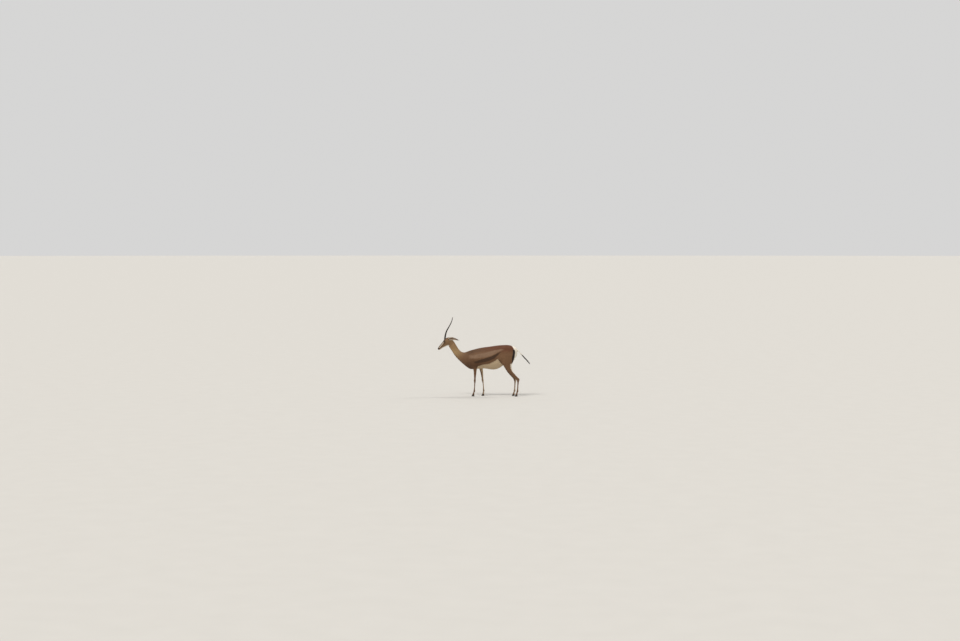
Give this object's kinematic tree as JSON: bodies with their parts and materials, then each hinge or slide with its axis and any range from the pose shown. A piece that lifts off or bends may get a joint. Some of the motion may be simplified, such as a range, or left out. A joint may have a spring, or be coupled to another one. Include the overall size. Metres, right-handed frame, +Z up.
{
  "type": "grant's gazelle",
  "caption": "Life-size standing Grant's gazelle doe in profile, slender ringed horns swept back, one leg of each pair set forward, tail hanging out behind",
  "frame": {"origin": "middle of the underside of the whole animal's box, on the floor that the hooves stand on", "axes": "+Y from the nose to the tail, +X to the animal's left side, +Z up"},
  "size_m": [0.2596, 1.6434, 1.4244],
  "materials": {
    "coat": "short flat fur, red-brown above, pale band and dark stripe on the flank, white belly and rump",
    "tail_hair": "long black hair on a white-haired stem",
    "horn": "ringed dark keratin, satin towards the smooth tip",
    "hoof": "dark keratin, satin",
    "eye": "wet, glossy, near black"
  },
  "bodies": {
    "root": {"head": "coat", "neck": "coat", "torso": "coat", "tail": "tail_hair", "foreleg_left": "coat", "foreleg_right": "coat", "hindleg_left": "coat", "hindleg_right": "coat", "hoof_foreleg_left_inner": "hoof", "hoof_foreleg_left_outer": "hoof", "hoof_foreleg_right_inner": "hoof", "hoof_foreleg_right_outer": "hoof", "hoof_hindleg_left_inner": "hoof", "hoof_hindleg_left_outer": "hoof", "hoof_hindleg_right_inner": "hoof", "hoof_hindleg_right_outer": "hoof", "ear_left": "coat", "ear_right": "coat", "eye_left": "eye", "eye_right": "eye", "horn_left": "horn", "horn_right": "horn"}
  },
  "joints": []
}
